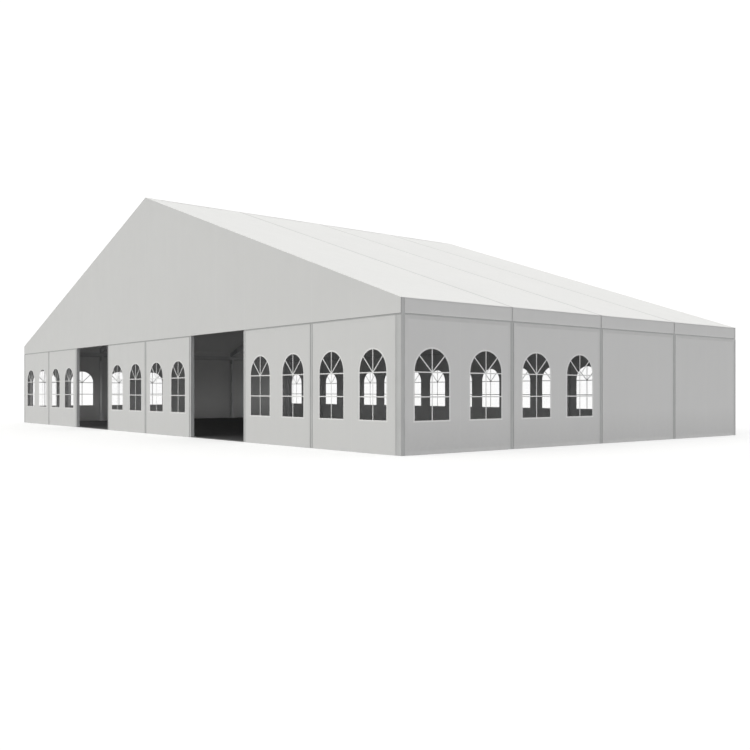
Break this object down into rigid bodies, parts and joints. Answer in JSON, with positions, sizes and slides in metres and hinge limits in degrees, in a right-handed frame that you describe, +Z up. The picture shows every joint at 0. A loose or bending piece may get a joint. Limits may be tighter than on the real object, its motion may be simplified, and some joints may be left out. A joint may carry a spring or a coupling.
{
  "type": "warehouse tent",
  "caption": "Clear-span warehouse tent with a ridged fabric roof on portal frames, arched windows in the walls and open doorways in one gable.",
  "frame": {"origin": "on the ground at the middle of the plan", "axes": "+Z up, +X along the 40 m gable towards the right wall, +Y from the front gable, which has the doorways, to the back gable"},
  "size_m": [39.94, 19.79, 11.44],
  "materials": {
    "frame_aluminium": "satin anodised",
    "roof_fabric": "satin coated fabric",
    "wall_fabric": "satin coated fabric",
    "clear_foil": "clear gloss",
    "floor_plate": "matte"
  },
  "bodies": {
    "root": {"main_frame_1": "frame_aluminium", "main_frame_2": "frame_aluminium", "main_frame_3": "frame_aluminium", "main_frame_4": "frame_aluminium", "main_frame_5": "frame_aluminium", "purlin_left_1": "frame_aluminium", "purlin_left_2": "frame_aluminium", "purlin_left_3": "frame_aluminium", "purlin_right_1": "frame_aluminium", "purlin_right_2": "frame_aluminium", "purlin_right_3": "frame_aluminium", "ridge_bar": "frame_aluminium", "eave_beam_left": "frame_aluminium", "eave_beam_right": "frame_aluminium", "front_frame_left": "frame_aluminium", "front_frame_middle": "frame_aluminium", "front_frame_right": "frame_aluminium", "back_gable_frame": "frame_aluminium", "door_header_left": "frame_aluminium", "door_header_right": "frame_aluminium", "roof_cover_1": "roof_fabric", "roof_cover_2": "roof_fabric", "roof_cover_3": "roof_fabric", "roof_cover_4": "roof_fabric", "front_gable_cover": "wall_fabric", "back_gable_cover": "wall_fabric", "fascia_left": "wall_fabric", "fascia_right": "wall_fabric", "front_wall_1": "wall_fabric", "front_wall_2": "wall_fabric", "front_wall_4": "wall_fabric", "front_wall_5": "wall_fabric", "front_wall_7": "wall_fabric", "front_wall_8": "wall_fabric", "back_wall_1": "wall_fabric", "back_wall_2": "wall_fabric", "back_wall_3": "wall_fabric", "back_wall_4": "wall_fabric", "back_wall_5": "wall_fabric", "back_wall_6": "wall_fabric", "back_wall_7": "wall_fabric", "back_wall_8": "wall_fabric", "left_wall_1": "wall_fabric", "left_wall_2": "wall_fabric", "left_wall_3": "wall_fabric", "left_wall_4": "wall_fabric", "right_wall_1": "wall_fabric", "right_wall_2": "wall_fabric", "right_wall_3": "wall_fabric", "right_wall_4": "wall_fabric", "front_window_foil_1": "clear_foil", "front_window_foil_2": "clear_foil", "front_window_foil_3": "clear_foil", "back_window_foil_1": "clear_foil", "back_window_foil_2": "clear_foil", "back_window_foil_3": "clear_foil", "left_window_foil": "clear_foil", "right_window_foil": "clear_foil", "floor": "floor_plate"}
  },
  "joints": []
}
